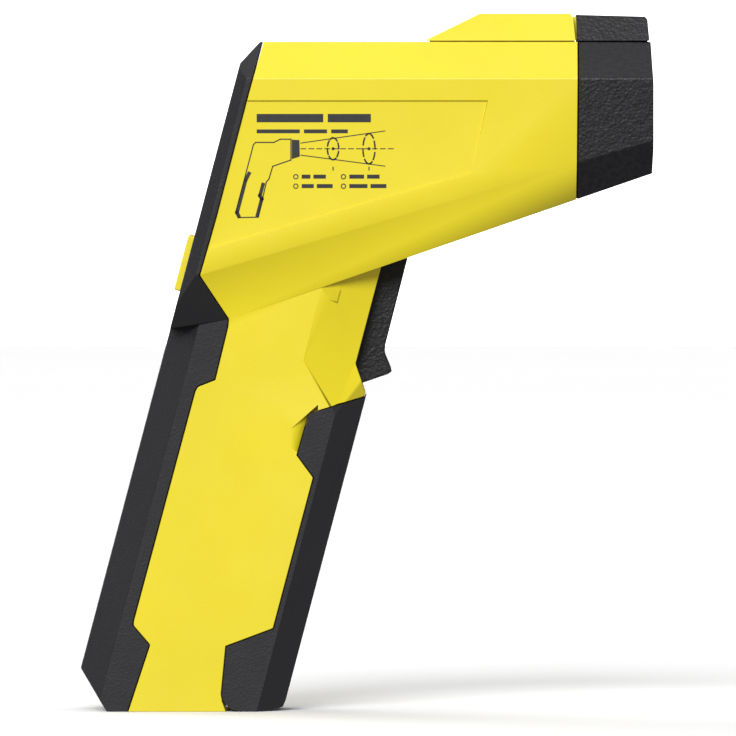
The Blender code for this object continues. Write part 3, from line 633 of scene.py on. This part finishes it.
def print_piece(name, shapes, place, face, material, body):
    bm = bmesh.new()
    for shape in shapes:
        slab(bm, shape, place(-BITE) if face is None else place(face, -BITE),
             place(INK) if face is None else place(face, INK))
    return piece_from(name, bm, material, body)


print_piece("label_print", label_outlines(), on_label, None, BLACK_INK, "root")


# ---------------------------------------------------------------- display and keys

SEGMENTS = {
    "0": "abcdef", "1": "bc", "2": "abged", "3": "abgcd", "4": "fgbc", "5": "afgcd",
    "6": "afgedc", "7": "abc", "8": "abcdefg", "9": "abcdfg",
}


def digit(character, left, low, width, height, bar_width):
    """The segments of one numeral, each a six-sided bar with a small gap to the next."""
    half, gap, lean = bar_width / 2.0, bar_width * 0.14, 0.08
    middle = low + height / 2.0
    x0, x1 = left + half, left + width - half
    z0, z1 = low + half, low + height - half
    ends = {
        "a": ((x0, z1), (x1, z1)), "g": ((x0, middle), (x1, middle)), "d": ((x0, z0), (x1, z0)),
        "b": ((x1, middle), (x1, z1)), "c": ((x1, z0), (x1, middle)),
        "f": ((x0, middle), (x0, z1)), "e": ((x0, z0), (x0, middle)),
    }
    made = []
    for letter in SEGMENTS[character]:
        a, b = Vector(ends[letter][0]), Vector(ends[letter][1])
        along = (b - a).normalized()
        side = Vector((-along.y, along.x)) * half
        a, b = a + along * gap, b - along * gap
        corners = [a, a + along * half - side, b - along * half - side, b,
                   b - along * half + side, a + along * half + side]
        made.append([(point.x + (point.y - low) * lean, point.y) for point in corners])
    return made


def number(text, left, low, width, height, bar_width):
    made = []
    for character in text:
        if character == ".":
            made.append(disc((left + bar_width * 0.1, low + bar_width / 2.0), bar_width * 0.55, 10))
            left += bar_width * 1.1
        else:
            made += digit(character, left, low, width, height, bar_width)
            left += width + bar_width * 0.9
    return made


def display_outlines():
    middle = DISPLAY_MIDDLE
    shapes = number("23.5", -10.6, middle - 6.0, 5.6, 11.0, 1.25)
    shapes += ring((11.3, middle + 4.6), 0.75, 0.4, 12)
    shapes += number("26.1", 2.6, middle + 8.0, 2.3, 4.4, 0.5)
    shapes += number("0.95", 2.6, middle - 12.4, 2.3, 4.4, 0.5)
    # battery sign
    low, left = middle + 9.0, -11.6
    shapes += [stroke((left, low), (left + 5.0, low), 0.35),
               stroke((left, low + 2.8), (left + 5.0, low + 2.8), 0.35),
               stroke((left, low), (left, low + 2.8), 0.35),
               stroke((left + 5.0, low), (left + 5.0, low + 2.8), 0.35),
               bar(left + 5.2, low + 0.8, left + 5.9, low + 2.0)]
    for i in range(3):
        shapes.append(bar(left + 0.6 + 1.4 * i, low + 0.55, left + 1.5 + 1.4 * i, low + 2.25))
    # aiming sign
    centre = (-8.6, middle - 10.2)
    shapes += ring(centre, 1.5, 0.35, 16)
    shapes.append(disc(centre, 0.5, 12))
    for turn in range(4):
        angle = math.pi / 2.0 * turn
        way = Vector((math.cos(angle), math.sin(angle)))
        shapes.append(stroke(Vector(centre) + way * 1.1, Vector(centre) + way * 2.7, 0.35))
    return shapes


print_piece("display_digits", display_outlines(), on_back, LCD_FACE, LCD_INK, "root")

KEY_SIGNS = {
    "key_left": (-11.0, [[(-1.6, 1.1), (0.0, -1.5), (1.6, 1.1)]]),
    "key_centre": (0.0, ring((0.0, 0.0), 1.15, 0.45, 18) + [bar(-0.22, 0.2, 0.22, 2.2)]),
    "key_right": (11.0, [[(-1.6, -1.1), (1.6, -1.1), (0.0, 1.5)]]),
}
for key, (right, shapes) in KEY_SIGNS.items():
    moved = [[(a + right, b + KEY_MIDDLE) for a, b in shape] for shape in shapes]
    print_piece(key + "_sign", moved, on_back, KEY_FACE, BLACK_INK, key)


# ---------------------------------------------------------------- floor, light and camera

def floor():
    look = Look("studio_floor", (0.93, 0.93, 0.93), 0.9)
    look.paint(look.mottled(400.0, 0.004))
    look.shader.inputs["Specular IOR Level"].default_value = 0.0
    bm = bmesh.new()
    bmesh.ops.create_grid(bm, x_segments=4, y_segments=4, size=6.0)
    mesh = bpy.data.meshes.new("studio_floor")
    bm.to_mesh(mesh)
    bm.free()
    mesh.materials.append(look.material)
    made = bpy.data.objects.new("studio_floor", mesh)
    bpy.context.scene.collection.objects.link(made)
    made.visible_diffuse = False
    made.visible_glossy = False


def soft_sun(name, towards, strength, spread_deg):
    """Even light, as from a very large panel, that comes from where towards points."""
    lamp = bpy.data.lights.new(name, "SUN")
    lamp.energy = strength
    lamp.angle = math.radians(spread_deg)
    holder = bpy.data.objects.new(name, lamp)
    holder.rotation_euler = (-Vector(towards)).to_track_quat("-Z", "Y").to_euler()
    bpy.context.scene.collection.objects.link(holder)


def studio():
    """A dim room with a broad light in front, one overhead and one behind."""
    world = bpy.data.worlds.new("studio")
    world.use_nodes = True
    sky = world.node_tree.nodes["Background"]
    sky.inputs["Color"].default_value = (1.0, 1.0, 1.0, 1.0)
    sky.inputs["Strength"].default_value = 0.32
    bpy.context.scene.world = world
    soft_sun("front_sun", (-0.18, -0.86, 0.50), 2.85, 28.0)
    soft_sun("top_sun", (0.15, 0.05, 1.0), 0.55, 50.0)
    soft_sun("rear_sun", (-0.9, 1.3, 0.9), 1.7, 50.0)
    bpy.context.scene.view_settings.view_transform = "Standard"
    bpy.context.scene.view_settings.look = "None"


def wall():
    """White backdrop, far enough behind that the camera can go round in front of it."""
    look = Look("studio_wall", (0.9, 0.9, 0.9), 0.9, Emission_Strength=1.1)
    look.shader.inputs["Emission Color"].default_value = (1.0, 1.0, 1.0, 1.0)
    mesh = bpy.data.meshes.new("studio_wall")
    half, low, high, far = 4.0, -1.0, 4.0, 6.4
    mesh.from_pydata([(-half, far, low), (half, far, low), (half, far, high), (-half, far, high)],
                     [], [(0, 1, 2, 3)])
    mesh.materials.append(look.material)
    made = bpy.data.objects.new("studio_wall", mesh)
    bpy.context.scene.collection.objects.link(made)
    made.visible_diffuse = False
    made.visible_glossy = False


def camera():
    view_width, sensor, lens = 195.2, 36.0, 800.0
    aim = Vector((0.24, -12.0, 91.0)) * MM
    up = math.radians(1.0)
    distance = view_width * MM * lens / sensor
    data = bpy.data.cameras.new("camera")
    data.lens = lens
    data.sensor_width = sensor
    data.clip_start = 0.1
    data.clip_end = 100.0
    holder = bpy.data.objects.new("camera", data)
    holder.location = aim + Vector((0.0, -math.cos(up), math.sin(up))) * distance
    holder.rotation_euler = (math.pi / 2.0 - up, 0.0, 0.0)
    bpy.context.scene.collection.objects.link(holder)
    bpy.context.scene.camera = holder


floor()
wall()
studio()
camera()
